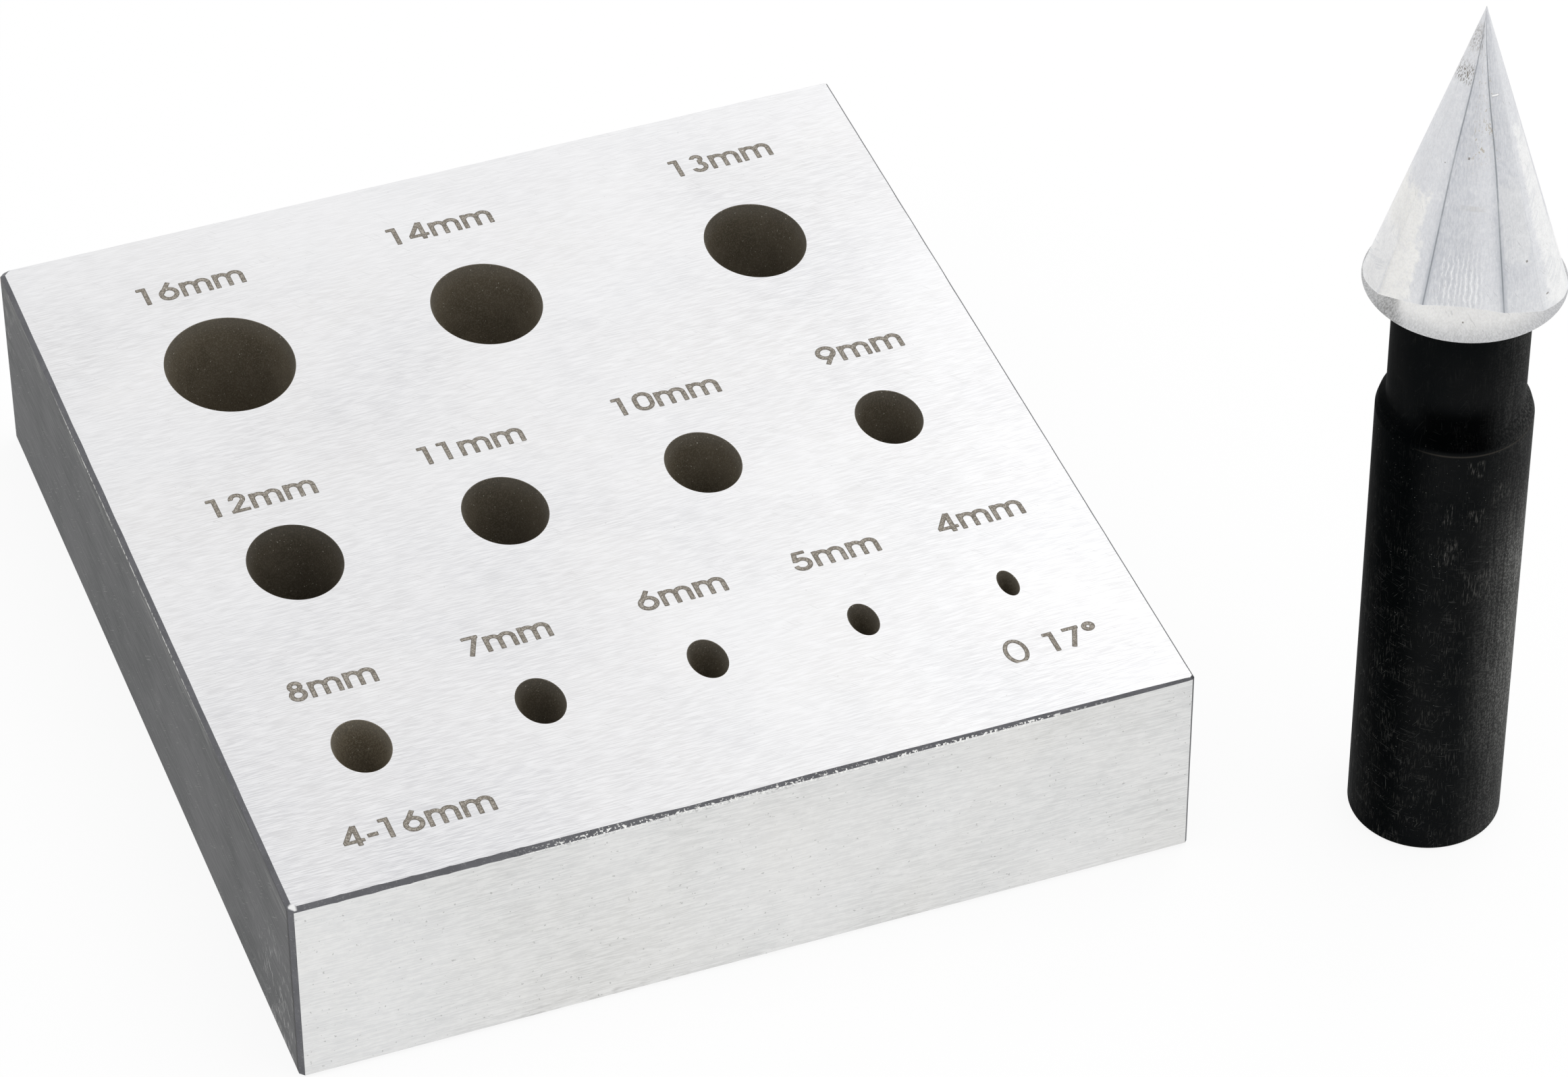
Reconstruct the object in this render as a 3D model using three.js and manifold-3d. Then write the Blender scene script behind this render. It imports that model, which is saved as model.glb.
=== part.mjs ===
// A steel bezel block for oval stone settings, with the faceted oval punch that stands beside it.
// Millimetres, +Z up. X runs along the block's front edge, Y runs towards its back.
// The origin is the middle of the face that the block rests on.

import * as THREE from "three";
import { mergeVertices } from "three/addons/utils/BufferGeometryUtils.js";
import Module from "manifold-3d";

const wasm = await Module();
wasm.setup();

// Block
const block_length = 97;
const block_width = 107;
const block_height = 23.7;
const block_chamfer = 0.5;

// Oval pockets: the mark beside each one is its long width, which lies along Y
const mark_unit = 1;
const oval_difference = 2;
const wall_angle_deg = 17;
const pocket_bottom_half_width = 0.15;
const pocket_sides = 48;
const pocket_rows = [
  { y_share: 0.7736, marks: [16, 14, 13], x_shares: [0.197, 0.498, 0.8196] },
  { y_share: 0.4626, marks: [12, 11, 10, 9], x_shares: [0.166, 0.4044, 0.6327, 0.8505] },
  { y_share: 0.1891, marks: [8, 7, 6, 5, 4], x_shares: [0.1445, 0.3419, 0.5288, 0.7051, 0.8708] },
];

// Place of the punch's axis: to the right of the block and a little in front of it
const punch_beside_block = 26;
const punch_in_front_of_block = 2.25;

// Punch shank and its neck
const shank_diameter = 16;
const shank_height = 54.1;
const foot_chamfer = 0.4;
const neck_diameter = 14;
const neck_bevel_height = 1.9;
const neck_height = 16.5;
const round_sides = 48;

// Spigot on the neck, and the blind bore in the head that takes it
const spigot_diameter = 8;
const spigot_length = 10;
const spigot_chamfer = 0.6;
const spigot_clearance = 0.15;
const bore_end_clearance = 0.5;

// Punch head: a round rim under an oval cone with flats ground on it, its wall angle taken on the long side
const rim_radius = 10.2;
const head_short_radius = 8.45;
const rim_bevel_angle_deg = 45;
const head_wall_angle_deg = 17;
const short_axis_turn_deg = -120;
const ridge_turns_deg = [26.5, 57, 90, 123, 153.5];
const steps_per_flat = 4;
const flatness_share = 0.2;

// One overrun for every cut
const cut_overrun = 2;

// A point on an upright ring, with its turn in radians from +X
function ringPoint(radius, turn, z) {
  return new THREE.Vector3(radius * Math.cos(turn), radius * Math.sin(turn), z);
}

// A closed solid through a stack of rings from the lowest up, ending flat or at a point
function loft(rings, apex) {
  const sides = rings[0].length;
  const points = rings.flat();
  const faces = [];
  for (let level = 0; level + 1 < rings.length; level += 1) {
    const low = level * sides;
    const high = low + sides;
    for (let side = 0; side < sides; side += 1) {
      const next = (side + 1) % sides;
      faces.push(low + side, low + next, high + next);
      faces.push(low + side, high + next, high + side);
    }
  }
  const top = (rings.length - 1) * sides;
  for (let side = 1; side + 1 < sides; side += 1) {
    faces.push(0, side + 1, side);
  }
  if (apex) {
    points.push(apex);
    for (let side = 0; side < sides; side += 1) {
      faces.push(top + side, top + ((side + 1) % sides), points.length - 1);
    }
  } else {
    for (let side = 1; side + 1 < sides; side += 1) {
      faces.push(top, top + side, top + side + 1);
    }
  }
  const geometry = new THREE.BufferGeometry().setFromPoints(points);
  geometry.setIndex(faces);
  return geometry;
}

// A round ring of points
function circle(radius, z) {
  const turns = Array.from({ length: round_sides }, (_, side) => (2 * Math.PI * side) / round_sides);
  return turns.map((turn) => ringPoint(radius, turn, z));
}

// An upright oval ring of points, long along Y
function oval(half_long, half_short, z) {
  const turns = Array.from({ length: pocket_sides }, (_, side) => (2 * Math.PI * side) / pocket_sides);
  return turns.map((turn) => new THREE.Vector3(half_short * Math.cos(turn), half_long * Math.sin(turn), z));
}

// Booleans
function toManifold(geometry) {
  const bare = geometry.clone();
  bare.deleteAttribute("normal");
  bare.deleteAttribute("uv");
  const merged = mergeVertices(bare);
  const vertProperties = new Float32Array(merged.attributes.position.array);
  const triVerts = new Uint32Array(merged.index.array);
  return new wasm.Manifold(new wasm.Mesh({ numProp: 3, vertProperties, triVerts }));
}

function toGeometry(solid) {
  const mesh = solid.getMesh();
  const geometry = new THREE.BufferGeometry();
  geometry.setAttribute("position", new THREE.BufferAttribute(mesh.vertProperties, mesh.numProp));
  geometry.setIndex(new THREE.BufferAttribute(mesh.triVerts, 1));
  geometry.computeVertexNormals();
  return geometry;
}

function steel(color, roughness, metalness) {
  return new THREE.MeshStandardMaterial({ color, roughness, metalness });
}

// Plain block with all its edges chamfered
function makeBlank() {
  const half_x = block_length / 2;
  const half_y = block_width / 2;
  const cut = block_chamfer;
  const corners = [
    [-half_x + cut, -half_y],
    [half_x - cut, -half_y],
    [half_x, -half_y + cut],
    [half_x, half_y - cut],
    [half_x - cut, half_y],
    [-half_x + cut, half_y],
    [-half_x, half_y - cut],
    [-half_x, -half_y + cut],
  ];
  const grow = (inset) => {
    const x_share = (half_x - inset) / half_x;
    const y_share = (half_y - inset) / half_y;
    return (z) => corners.map(([x, y]) => new THREE.Vector3(x * x_share, y * y_share, z));
  };
  const inner = grow(cut);
  const outer = grow(0);
  return loft([inner(0), outer(cut), outer(block_height - cut), inner(block_height)]);
}

// Tapered cutter for one pocket: it is as wide as its mark at the top face of the block
function makePocketCutter(mark, x, y) {
  const taper = Math.tan(THREE.MathUtils.degToRad(wall_angle_deg));
  const half_long = (mark * mark_unit) / 2;
  const half_short = half_long - oval_difference / 2;
  const depth = (half_short - pocket_bottom_half_width) / taper;
  const ringAt = (rise) => oval(half_long + rise * taper, half_short + rise * taper, block_height + rise);
  return loft([ringAt(-depth), ringAt(cut_overrun)]).translate(x, y, 0);
}

function makeBlock() {
  let solid = toManifold(makeBlank());
  for (const row of pocket_rows) {
    const y = (row.y_share - 1 / 2) * block_width;
    row.marks.forEach((mark, place) => {
      const x = (row.x_shares[place] - 1 / 2) * block_length;
      solid = solid.subtract(toManifold(makePocketCutter(mark, x, y)));
    });
  }
  const block = new THREE.Mesh(toGeometry(solid), steel(0xdddfe0, 0.35, 0.9));
  block.name = "block";
  return block;
}

// Heights on the punch, from the bench up
const neck_foot = shank_height + neck_bevel_height;
const head_foot = shank_height + neck_height;
const spigot_top = head_foot + spigot_length;

function makeShank() {
  const shank_radius = shank_diameter / 2;
  const neck_radius = neck_diameter / 2;
  const spigot_radius = spigot_diameter / 2;
  const profile = [
    [0, 0],
    [shank_radius - foot_chamfer, 0],
    [shank_radius, foot_chamfer],
    [shank_radius, shank_height],
    [neck_radius, neck_foot],
    [neck_radius, head_foot],
    [spigot_radius, head_foot],
    [spigot_radius, spigot_top - spigot_chamfer],
    [spigot_radius - spigot_chamfer, spigot_top],
    [0, spigot_top],
  ];
  const points = profile.map(([radius, z]) => new THREE.Vector2(radius, z));
  const geometry = new THREE.LatheGeometry(points, round_sides).rotateX(Math.PI / 2);
  const shank = new THREE.Mesh(geometry, steel(0x1c1d1f, 0.4, 0.6));
  shank.name = "punch_shank";
  return shank;
}

// Radius of an oval at a turn from its short axis
function ovalRadius(half_long, half_short, turn) {
  const across = half_long * Math.cos(turn);
  const along = half_short * Math.sin(turn);
  return (half_long * half_short) / Math.hypot(across, along);
}

// The foot of the head's cone: an oval whose flats pull it part of the way to the chord between two ridges
function headRing(half_long, half_short, z) {
  const half_turn = ridge_turns_deg.map((turn) => THREE.MathUtils.degToRad(turn));
  const ridges = [...half_turn, ...half_turn.map((turn) => turn + Math.PI)];
  const start_turn = THREE.MathUtils.degToRad(short_axis_turn_deg);
  const ring = [];
  ridges.forEach((from, index) => {
    const to = index + 1 < ridges.length ? ridges[index + 1] : ridges[0] + 2 * Math.PI;
    const first = ringPoint(ovalRadius(half_long, half_short, from), from, z);
    const last = ringPoint(ovalRadius(half_long, half_short, to), to, z);
    for (let step = 0; step < steps_per_flat; step += 1) {
      const share = step / steps_per_flat;
      const chord = first.clone().lerp(last, share);
      const turn = Math.atan2(chord.y, chord.x);
      const curve = ringPoint(ovalRadius(half_long, half_short, turn), turn, z);
      const point = curve.lerp(chord, flatness_share);
      ring.push(point.applyAxisAngle(new THREE.Vector3(0, 0, 1), start_turn));
    }
  });
  return ring;
}

function makeHead() {
  const bevel = Math.tan(THREE.MathUtils.degToRad(rim_bevel_angle_deg));
  const tip_height = rim_radius / Math.tan(THREE.MathUtils.degToRad(head_wall_angle_deg));
  const apex = new THREE.Vector3(0, 0, head_foot + tip_height);
  const cone = toManifold(loft([headRing(rim_radius, head_short_radius, head_foot)], apex));

  const rim_top = (2 * (rim_radius - head_short_radius)) / bevel;
  const rim = toManifold(
    loft([circle(rim_radius, head_foot), circle(rim_radius - rim_top * bevel, head_foot + rim_top)]),
  );

  const bore_radius = spigot_diameter / 2 + spigot_clearance;
  const bore_top = spigot_top + bore_end_clearance;
  const bore = toManifold(
    loft([circle(bore_radius, head_foot - cut_overrun), circle(bore_radius, bore_top)]),
  );

  const geometry = toGeometry(cone.add(rim).subtract(bore));
  const head = new THREE.Mesh(geometry, steel(0xd2d5da, 0.3, 0.9));
  head.name = "punch_head";
  return head;
}

// Head and shank share one place, and lift off the bench together
function makePunch() {
  const punch = new THREE.Group();
  punch.add(makeShank(), makeHead());
  const x = block_length / 2 + punch_beside_block;
  const y = -block_width / 2 - punch_in_front_of_block;
  punch.position.set(x, y, 0);
  return punch;
}

const bezel_block = new THREE.Group();
bezel_block.add(makeBlock(), makePunch());

export default bezel_block;
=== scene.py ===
import math

import bpy
import numpy as np
from mathutils import Matrix, Vector, geometry, noise


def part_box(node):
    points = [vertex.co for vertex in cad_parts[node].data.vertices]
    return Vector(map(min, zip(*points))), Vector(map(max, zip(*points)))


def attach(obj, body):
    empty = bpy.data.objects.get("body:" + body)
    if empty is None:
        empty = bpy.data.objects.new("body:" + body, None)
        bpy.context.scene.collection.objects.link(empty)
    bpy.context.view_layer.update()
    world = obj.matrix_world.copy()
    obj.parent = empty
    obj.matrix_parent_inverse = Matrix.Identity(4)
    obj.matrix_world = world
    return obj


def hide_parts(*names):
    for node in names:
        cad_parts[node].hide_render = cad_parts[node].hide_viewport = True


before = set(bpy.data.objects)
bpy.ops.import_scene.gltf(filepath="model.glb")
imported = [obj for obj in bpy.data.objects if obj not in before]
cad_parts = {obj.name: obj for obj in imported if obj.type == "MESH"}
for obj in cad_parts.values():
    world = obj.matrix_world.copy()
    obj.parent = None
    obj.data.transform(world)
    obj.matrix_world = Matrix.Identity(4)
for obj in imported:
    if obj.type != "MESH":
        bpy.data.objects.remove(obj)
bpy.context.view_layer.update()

# A steel bezel block with oval pockets, and the oval punch that stands beside it.
# Lengths are written in millimetres and turned into metres where a mesh or a lamp is made.
MM = 0.001
FULL_TURN = 2 * math.pi

# Block: the pockets' places are shares of the block's length and width
POCKET_ROWS = [
    {"y_share": 0.7736, "marks": [16, 14, 13], "x_shares": [0.197, 0.498, 0.8196]},
    {"y_share": 0.4626, "marks": [12, 11, 10, 9], "x_shares": [0.166, 0.4044, 0.6327, 0.8505]},
    {"y_share": 0.1891, "marks": [8, 7, 6, 5, 4], "x_shares": [0.1445, 0.3419, 0.5288, 0.7051, 0.8708]},
]
# Pockets whose walls are drawn a little darker or lighter than those of the others
POCKET_TONES = {13: 0.87, 12: 0.65, 11: 0.8, 9: 0.87, 8: 1.35, 7: 0.8, 6: 0.85, 5: 0.85}
OVAL_DIFFERENCE = 2.0
WALL_ANGLE = math.radians(17)
POCKET_BOTTOM_HALF_WIDTH = 0.15
POCKET_SIDES = 96
POCKET_LEVELS = 12
RIM_BREAK = 0.05
TOP_SINK = 0.02

# Block edges: the chamfer of each side, and the nicks in the front one
EDGE_STEP = 0.5
CORNER_CUTS = {"left": 0.5, "right": 0.28}
FOOT_CHAMFER = 0.35
EDGE_WIDTHS = {"right": 0.22, "back": 0.3, "left": 0.48}
FRONT_SHARES = (0, 0.2, 0.25, 0.38, 0.43, 0.5, 0.55, 0.85, 1)
FRONT_WIDTHS = (0.46, 0.46, 0.5, 0.48, 0.32, 0.28, 0.38, 0.37, 0.28)
EDGE_WANDER = 0.04
EDGE_WANDER_SIZE = 4.0
NICK_SHARES = [0.052, 0.09, 0.129, 0.17, 0.203, 0.226, 0.246]
NICK_DEPTH = 0.08
NICK_WIDTH = 0.4

# Which of the block's materials each face takes
TOP_SLOT = 0
FOOT_SLOT = 1
# The chamfers take a copy of the ground steel painted dark for shade
CHAMFER_SLOT = 3
POCKET_SLOT = 4
# The left and right sides take a copy of the ground steel painted dark for shade
SIDE_SLOTS = {"front": 1, "back": 1, "left": 2, "right": 2, "corner": CHAMFER_SLOT}
BLOCK_SHARP_ANGLE = math.radians(12)

# Settings of the tool that fills the top face
INSIDE_ONLY = 1
JOIN_DISTANCE = 0.000001

# Size marks: heights and strokes of the figures, and where each mark stands
CAP_HEIGHT = 3.0
TALLEST_SHARE = 1.1
STROKE_SHARE = 0.18
THIN_STROKE_SHARE = 0.155
MARK_STEP = 0.075
MARK_DEPTH = 0.05
MARK_SINK_SHARE = 0.25
MARK_TILT = math.radians(0.75)
MARK_ROWS = [
    {"y_share": 0.891, "words": ["16mm", "14mm", "13mm"], "x_shares": [0.1962, 0.4928, 0.8345]},
    {"y_share": 0.5508, "words": ["12mm", "11mm", "10mm", "9mm"], "x_shares": [0.164, 0.405, 0.633, 0.862]},
    {"y_share": 0.2682, "words": ["8mm", "7mm", "6mm", "5mm", "4mm"],
     "x_shares": [0.145, 0.341, 0.538, 0.7145, 0.8825]},
    {"y_share": 0.0585, "words": ["4-16mm"], "x_shares": [0.165]},
    {"y_share": 0.0705, "words": ["o17*"], "x_shares": [0.8787]},
]
MARK_NAMES = {"4-16mm": "mark_range", "o17*": "mark_angle"}

# Punch: sizes that its box doesn't give
SHANK_HEIGHT = 54.1
NECK_RADIUS = 7.0
NECK_BEVEL_HEIGHT = 1.9
SHOULDER_SWELL = 0.2
SHANK_FOOT_CHAMFER = 0.4
EDGE_ROUND = 0.12
EDGE_ROUND_STEPS = 3
ROUND_SIDES = 128
SHANK_SHARP_ANGLE = math.radians(40)
SPIGOT_RADIUS = 4.0
SPIGOT_LENGTH = 10.0
SPIGOT_CHAMFER = 0.6
SPIGOT_CLEARANCE = 0.15
BORE_END_CLEARANCE = 0.5

# Punch head: ridges by their turn from its short axis, each with the strength of its line
HEAD_SHORT_RADIUS = 8.45
SHORT_AXIS_TURN = math.radians(-120)
RIDGE_TURNS = [math.radians(turn) for turn in (31.5, 59, 90, 121, 153.5, 205.5, 239, 270, 301, 334)]
RIDGE_STRENGTHS = [1.0, 0.12, 0.1, 0.12, 0.8, 0.8, 0.12, 0.1, 0.08, 0.9]
RIDGE_HALF_WIDTH = 0.085
RIDGE_WIDTH_SHARE = 0.045
# The front flat narrows from this height over the head's foot, by this share over the next height
FRONT_FLAT = 9
NARROW_FROM = 14.0
NARROW_OVER = 15.0
NARROW_SHARE = 0.46
STEPS_PER_FLAT = 12
FLATNESS_SHARE = 0.2
HEAD_LEVELS = 56
RIM_LAND = 0.18
RIM_ROUND = 0.12
RIM_TRIES = 20
BAND_EDGE = 0.04
HEAD_SHARP_ANGLE = math.radians(28)

# Painted reflections and shading of the flats: the tone of each flat, its painted shading across, and its
# soft patches of painted reflection, each patch with its flat number, shares across it, lowest and highest
# rise, and strength
FLAT_REFLECTION_TONES = [0.15, 0.85, 0.5, 0.3, 0.1, 0.55, 0.3, 0.85, 0.75, 0.04]
SHADE_SHARES = (0.0, 0.4, 0.8, 1.0)
FLAT_PAINTED_SHADES = [
    (-0.9, -0.4, 0.0, 0.3), (0.3, 0.3, 0.2, 0.0), (0.0, 0.2, 0.2, 0.0), (0.0, 0.1, -0.1, -0.5),
    (-0.8, -0.2, 0.8, 0.2), (-0.7, -0.1, 0.1, 0.2), (0.1, 0.2, 0.1, 0.0), (0.0, 0.1, 0.3, 0.2),
    (0.2, 0.2, -0.3, -0.9), (-1.0, -0.3, 0.9, -0.5),
]
CREAM_REFLECTIONS = [
    (0, -0.05, 1.2, 5.0, 16.5, 1.0), (8, -0.5, 0.62, -4.0, 14.2, 1.0), (8, -0.5, 0.78, -4.0, 9.0, 1.0),
    (7, -0.5, 1.5, 5.8, 14.0, 1.0), (3, -0.1, 1.0, 1.0, 10.0, 0.8), (5, 0.2, 1.5, -3.0, 12.0, 0.9),
]
WHITE_REFLECTIONS = [
    (1, 0.12, 1.5, -4.0, 21.5, 1.0), (7, -0.5, 1.5, -4.0, 8.8, 1.0), (2, -0.5, 0.7, -4.0, 10.0, 0.9),
    (6, 0.2, 1.5, -4.0, 9.0, 0.9),
]
PATCH_SOFT_SHARE = 0.24
PATCH_SOFT_RISE = 2.6

# What the head's points tell its finish, and what they tell it off the flats, far from any ridge
LOOK_LABELS = ("ridge_reach", "ridge_strength", "flat_reflection_tone", "flat_painted_shade", "cream", "white")
PLAIN_LOOK = (99.0, 0.0, 0.5, 0.0, 0.0, 0.0)

# Camera: where it stands from the middle of the block's foot, and how it is turned
CAMERA_PLACE = (-168.24, -520.12, 493.34)
CAMERA_HEADING = math.radians(20.23)
CAMERA_DIP = math.radians(41.3)
CAMERA_ROLL = math.radians(-0.27)
CAMERA_LENS = 156.06
SENSOR_WIDTH = 36.0
NEAREST_SEEN = 10.0
FARTHEST_SEEN = 50000.0

# Studio: each lamp's place, aim, side length and power in watts
FLOOR_HALF = 4000.0
FLOOR_CELLS = 8
FLOOR_GAP = 0.05
FLOOR_GLOW = 0.9
WORLD_LIGHT = 0.75
WINDOW_LAMP = ((520, 470, 480), (60, -20, 24), 380, 0.78)
OVERHEAD_LAMP = ((250, -100, 1000), (0, 0, 0), 900, 4.4)


# Mesh tools

def new_object(name, points, faces, slots=None, smooth=True, sharp_angle=None):
    """A mesh object from points in millimetres, with one material slot number per face."""
    mesh = bpy.data.meshes.new(name)
    mesh.from_pydata([Vector(point) * MM for point in points], [], faces)
    if slots is not None:
        mesh.polygons.foreach_set("material_index", slots)
    mesh.polygons.foreach_set("use_smooth", [smooth] * len(mesh.polygons))
    if sharp_angle is not None:
        mesh.set_sharp_from_angle(angle=sharp_angle)
    mesh.update()
    thing = bpy.data.objects.new(name, mesh)
    bpy.context.scene.collection.objects.link(thing)
    return thing


def note_on_points(thing, label, values):
    """Stores one number per point, which the piece's finish reads by its label."""
    thing.data.attributes.new(label, "FLOAT", "POINT").data.foreach_set("value", values)


def dress(thing, materials, body, node):
    """Gives a piece its materials, the body that it rides on and the solid that it stands for."""
    for material in materials:
        thing.data.materials.append(material)
    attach(thing, body)
    if node:
        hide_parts(node)


def strips(loops, first=0):
    """Quads between closed loops of equal length, each numbered after the one before."""
    sides = len(loops[0])
    faces = []
    for level in range(len(loops) - 1):
        low = first + level * sides
        for side in range(sides):
            after = (side + 1) % sides
            faces.append((low + side, low + after, low + sides + after, low + sides + side))
    return faces


def millimetre_box(node):
    low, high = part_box(node)
    return Vector(low) / MM, Vector(high) / MM


# Block

def block_outline(half_x, half_y):
    """Points along the block's outer edge, anticlockwise from the front left, each with its side's name."""
    left, right = CORNER_CUTS["left"], CORNER_CUTS["right"]
    corners = [
        ((-half_x + left, -half_y), "front"),
        ((half_x - right, -half_y), "corner"),
        ((half_x, -half_y + right), "right"),
        ((half_x, half_y - right), "corner"),
        ((half_x - right, half_y), "back"),
        ((-half_x + left, half_y), "corner"),
        ((-half_x, half_y - left), "left"),
        ((-half_x, -half_y + left), "corner"),
    ]
    outline = []
    for index, (start, side) in enumerate(corners):
        start = Vector(start)
        end = Vector(corners[(index + 1) % len(corners)][0])
        steps = 1 if side == "corner" else round((end - start).length / EDGE_STEP)
        outline += [(start.lerp(end, step / steps), side) for step in range(steps)]
    return outline


def chamfer_width(point, side, half_x):
    """Width of the top chamfer at a place on the outline, with its wander and the front nicks."""
    wander = EDGE_WANDER * noise.noise(Vector((point.x, point.y, 0)) / EDGE_WANDER_SIZE)
    if side != "front":
        corner_width = EDGE_WIDTHS["left"] if point.x < 0 else EDGE_WIDTHS["right"]
        return EDGE_WIDTHS.get(side, corner_width) + wander
    along = (point.x + half_x) / (2 * half_x)
    width = float(np.interp(along, FRONT_SHARES, FRONT_WIDTHS))
    for share in NICK_SHARES:
        distance = (along - share) * 2 * half_x / NICK_WIDTH
        width += NICK_DEPTH * math.exp(-distance * distance)
    return width + wander


def inset_loop(outline, widths, half_x, half_y, heights):
    """The outline drawn in by a width at each point, at each point's own height."""
    return [
        (point.x * (half_x - width) / half_x, point.y * (half_y - width) / half_y, z)
        for (point, side), width, z in zip(outline, widths, heights)
    ]


def oval_loop(x, y, half_long, half_short, z):
    turns = [FULL_TURN * side / POCKET_SIDES for side in range(POCKET_SIDES)]
    return [(x + half_short * math.cos(turn), y + half_long * math.sin(turn), z) for turn in turns]


def pocket_loops(mark, x, y, top):
    """Loops of one pocket from its rim down to its narrow bottom."""
    half_long = mark / 2
    half_short = half_long - OVAL_DIFFERENCE / 2
    taper = math.tan(WALL_ANGLE)
    depth = (half_short - POCKET_BOTTOM_HALF_WIDTH) / taper
    loops = [oval_loop(x, y, half_long + RIM_BREAK, half_short + RIM_BREAK, top)]
    for level in range(POCKET_LEVELS + 1):
        fall = RIM_BREAK + (depth - RIM_BREAK) * level / POCKET_LEVELS
        shrink = fall * taper
        loops.append(oval_loop(x, y, half_long - shrink, half_short - shrink, top - fall))
    return loops


def top_triangles(points, open_loops):
    """Triangles of the top face, between the block's edge and the pockets' rims."""
    numbers = [number for loop in open_loops for number in loop]
    loop_of = [place for place, loop in enumerate(open_loops) for _ in loop]
    flat = [Vector(points[number][:2]) for number in numbers]
    edges = []
    for loop in open_loops:
        first = len(edges)
        edges += [(first + place, first + (place + 1) % len(loop)) for place in range(len(loop))]
    made = geometry.delaunay_2d_cdt(flat, edges, [], INSIDE_ONLY, JOIN_DISTANCE)
    triangles = []
    for face in made[2]:
        corners = [made[3][corner][0] for corner in face]
        touched = {loop_of[corner] for corner in corners}
        if len(touched) > 1 or 0 in touched:
            triangles.append(tuple(numbers[corner] for corner in corners))
    return triangles


def make_block(materials):
    low, high = millimetre_box("block")
    half_x, half_y = high.x, high.y
    top = high.z - TOP_SINK
    outline = block_outline(half_x, half_y)
    sides = len(outline)
    widths = [chamfer_width(point, side, half_x) for point, side in outline]
    chamfer_feet = [top - width for width in widths]
    loops = [
        inset_loop(outline, [FOOT_CHAMFER] * sides, half_x, half_y, [low.z] * sides),
        inset_loop(outline, [0] * sides, half_x, half_y, [low.z + FOOT_CHAMFER] * sides),
        inset_loop(outline, [0] * sides, half_x, half_y, chamfer_feet),
        inset_loop(outline, widths, half_x, half_y, [top] * sides),
    ]
    points = [point for loop in loops for point in loop]
    tones = [1.0] * len(points)
    faces = strips(loops) + [tuple(reversed(range(sides)))]
    slots = [CHAMFER_SLOT] * sides + [SIDE_SLOTS[side] for point, side in outline] + [CHAMFER_SLOT] * sides
    slots.append(FOOT_SLOT)
    open_loops = [list(range(3 * sides, 4 * sides))]
    for row in POCKET_ROWS:
        y = (row["y_share"] - 0.5) * 2 * half_y
        for mark, share in zip(row["marks"], row["x_shares"]):
            rings = pocket_loops(mark, (share - 0.5) * 2 * half_x, y, top)
            first = len(points)
            points += [point for ring in rings for point in ring]
            tones += [POCKET_TONES.get(mark, 1.0)] * (len(points) - first)
            wall = strips(rings, first)
            faces += wall + [tuple(range(len(points) - POCKET_SIDES, len(points)))]
            slots += [POCKET_SLOT] * (len(wall) + 1)
            open_loops.append(list(range(first, first + POCKET_SIDES)))
    covers = top_triangles(points, open_loops)
    slots += [TOP_SLOT] * len(covers)
    block = new_object("block_body", points, faces + covers, slots, sharp_angle=BLOCK_SHARP_ANGLE)
    note_on_points(block, "pocket_tone", tones)
    dress(block, materials, "block", "block")


# Size marks: each figure has a width, the gap after it and its strokes, in shares of the cap height.
# A line has its two ends, an arc its centre, radius and turns, and an oval its centre and half sizes.
# The letter o stands for the oval sign, and the star for the degree sign.

GLYPHS = {
    "0": (0.74, 0.09, [("arc", 0.37, 0.64, 0.28, 0, 180), ("arc", 0.37, 0.36, 0.28, 180, 360),
                       ("line", 0.09, 0.36, 0.09, 0.64), ("line", 0.65, 0.36, 0.65, 0.64)]),
    "1": (0.37, 0.36, [("line", 0.28, 0, 0.28, 1), ("thin", 0, 0.92, 0.3, 0.92)]),
    "2": (0.71, 0.1, [("arc", 0.36, 0.7, 0.215, -38, 180), ("line", 0.555, 0.61, 0.12, 0.08),
                      ("thin", 0.02, 0.078, 0.7, 0.078)]),
    "3": (0.69, 0.1, [("arc", 0.34, 0.775, 0.165, -90, 165), ("arc", 0.34, 0.305, 0.225, -170, 90)]),
    "4": (0.75, 0.1, [("line", 0.54, 0, 0.54, 1), ("line", 0.52, 0.98, 0.06, 0.25),
                      ("thin", 0, 0.245, 0.75, 0.245)]),
    "5": (0.73, 0.1, [("thin", 0.18, 0.92, 0.62, 0.92), ("line", 0.24, 0.97, 0.14, 0.47),
                      ("arc", 0.36, 0.33, 0.265, -170, 138)]),
    "6": (0.77, 0.09, [("arc", 0.385, 0.365, 0.285, 0, 360), ("line", 0.145, 0.46, 0.51, 1.0)]),
    "7": (0.6, 0.12, [("thin", 0, 0.92, 0.6, 0.92), ("line", 0.5, 0.93, 0.12, 0)]),
    "8": (0.63, 0.12, [("arc", 0.315, 0.745, 0.18, 0, 360), ("arc", 0.315, 0.31, 0.235, 0, 360)]),
    "9": (0.77, 0.09, [("arc", 0.385, 0.635, 0.285, 0, 360), ("line", 0.625, 0.54, 0.26, 0)]),
    "m": (1.13, 0.12, [("line", 0.085, 0, 0.085, 0.81), ("line", 0.565, 0, 0.565, 0.48),
                       ("line", 1.045, 0, 1.045, 0.48), ("arc", 0.325, 0.48, 0.24, 0, 180),
                       ("arc", 0.805, 0.48, 0.24, 0, 180)]),
    "-": (0.42, 0.12, [("line", 0.02, 0.37, 0.4, 0.37)]),
    "o": (0.84, 0.7, [("oval", 0.42, 0.5, 0.35, 0.54)]),
    "*": (0.46, 0, [("arc", 0.23, 0.8, 0.15, 0, 360)]),
}


def line_depth(x, y, x0, y0, x1, y1, half):
    """How deep points lie inside a straight stroke with square ends."""
    length = math.hypot(x1 - x0, y1 - y0)
    along = ((x - x0) * (x1 - x0) + (y - y0) * (y1 - y0)) / length
    across = ((x - x0) * (y1 - y0) - (y - y0) * (x1 - x0)) / length
    return np.minimum(half - np.abs(across), np.minimum(along, length - along))


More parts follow.
